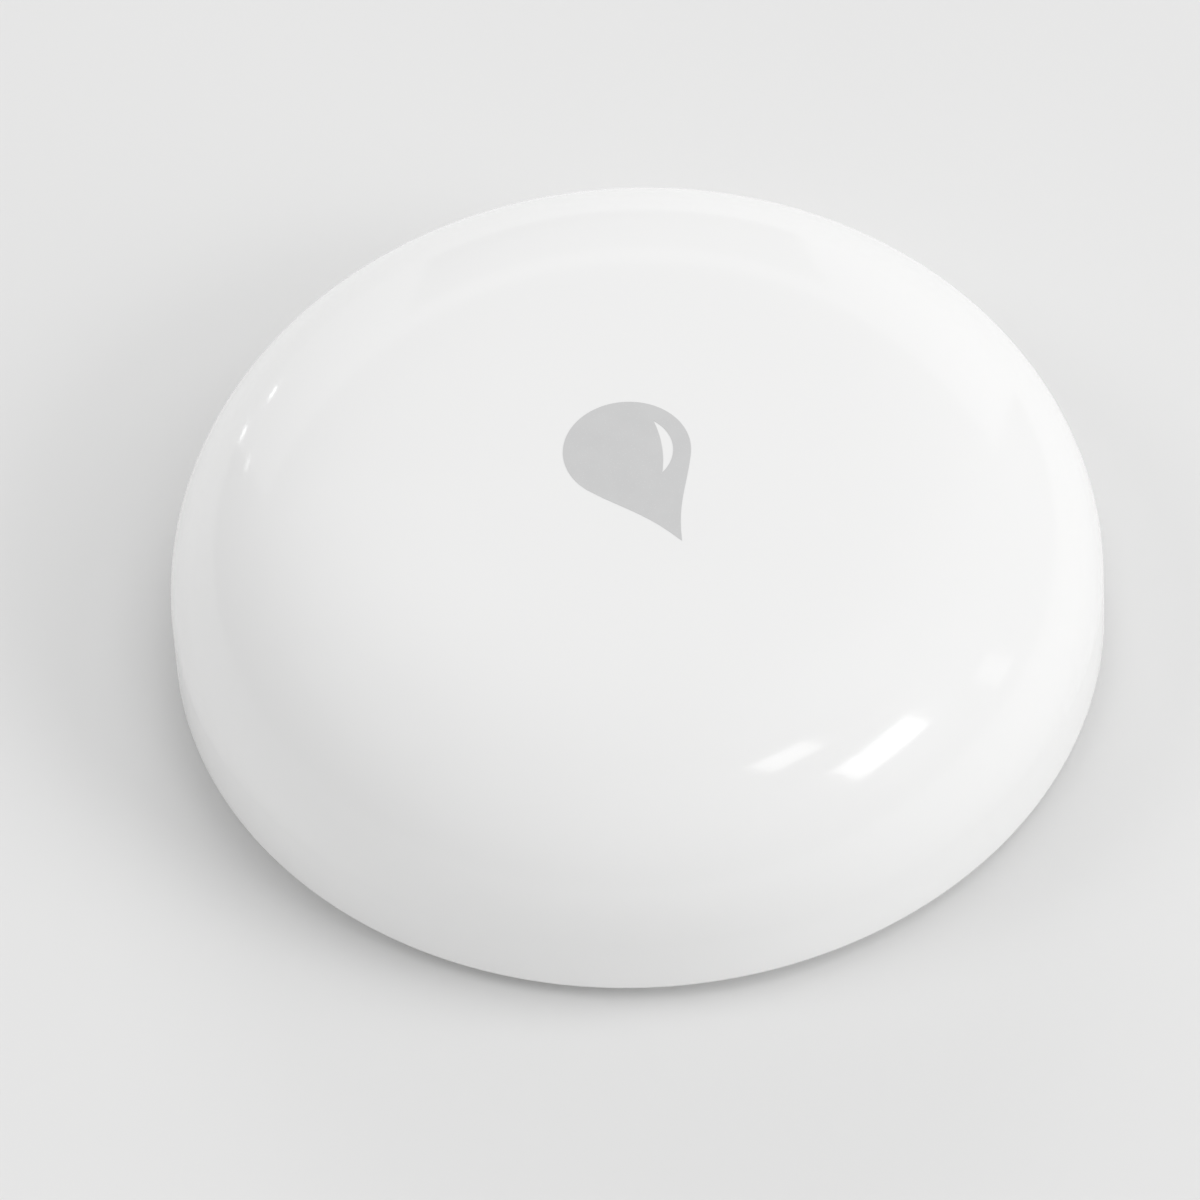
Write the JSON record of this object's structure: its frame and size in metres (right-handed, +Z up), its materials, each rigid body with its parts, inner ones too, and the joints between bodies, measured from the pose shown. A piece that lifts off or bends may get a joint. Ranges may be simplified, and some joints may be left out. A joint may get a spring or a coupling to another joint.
{
  "type": "water leak sensor",
  "caption": "Round floor water leak sensor: crowned white cap that presses as a button over a sealed tub with metal probes, coin cell, board and a coin-slot bayonet battery door.",
  "frame": {"origin": "on the floor under the middle of the sensor", "axes": "+Z up, out of the cap; X through the two probes"},
  "size_m": [0.05, 0.05, 0.015],
  "materials": {
    "cap_white": "gloss",
    "mark_grey": "printed",
    "tub_white": "fine texture",
    "door_white": "fine texture",
    "seal_black": "satin",
    "probe_gold": "plated",
    "nut_brass": "machined",
    "spring_gold": "plated",
    "cell_steel": "brushed",
    "gasket_black": "satin",
    "holder_black": "fine texture",
    "contact_nickel": "plated",
    "board_green": "solder mask",
    "screw_steel": "zinc plated",
    "switch_black": "moulded",
    "switch_steel": "stamped",
    "chip_black": "moulded",
    "crystal_steel": "satin",
    "antenna_cream": "ceramic",
    "lamp_amber": "clear resin",
    "capacitor_tan": "ceramic",
    "resistor_black": "ceramic"
  },
  "bodies": {
    "base": {"base_shell": "tub_white", "case_o_ring": "seal_black", "probe_left": "probe_gold", "probe_right": "probe_gold", "probe_o_rings": "seal_black", "probe_nuts": "nut_brass", "probe_springs": "spring_gold", "battery_can": "cell_steel", "battery_lid": "cell_steel", "battery_gasket": "gasket_black", "battery_holder": "holder_black", "plus_contact": "contact_nickel", "minus_contact": "contact_nickel", "main_board": "board_green", "board_screws": "screw_steel", "switch_body": "switch_black", "switch_cover": "switch_steel", "switch_legs": "switch_steel", "switch_dome": "switch_steel", "radio_chip": "chip_black", "memory_chip": "chip_black", "crystal": "crystal_steel", "chip_antenna": "antenna_cream", "indicator_led": "lamp_amber", "capacitors": "capacitor_tan", "resistors": "resistor_black"},
    "cap": {"top_shell": "cap_white"},
    "plunger": {"switch_plunger": "switch_black"},
    "door": {"battery_door": "door_white", "door_o_ring": "seal_black"}
  },
  "joints": [
    {"name": "cap_press", "type": "slide", "parent": "base", "child": "cap", "axis": [0, 0, -1], "range_m": [0, 0.0003], "stiffness_N_per_m": 2000, "springref_m": -0.0006, "deforming": ["switch_dome"]},
    {"name": "plunger_press", "type": "slide", "parent": "base", "child": "plunger", "axis": [0, 0, -1], "range_m": [0, 0.0003], "deforming": ["switch_dome"]},
    {"name": "door_turn", "type": "hinge", "parent": "base", "child": "door", "pos_m": [0, 0, 0.0005], "axis": [0, 0, -1], "range_deg": [0, 45]}
  ],
  "couplings": [
    {"joint": "plunger_press", "follows": "cap_press", "ratio": 1}
  ]
}
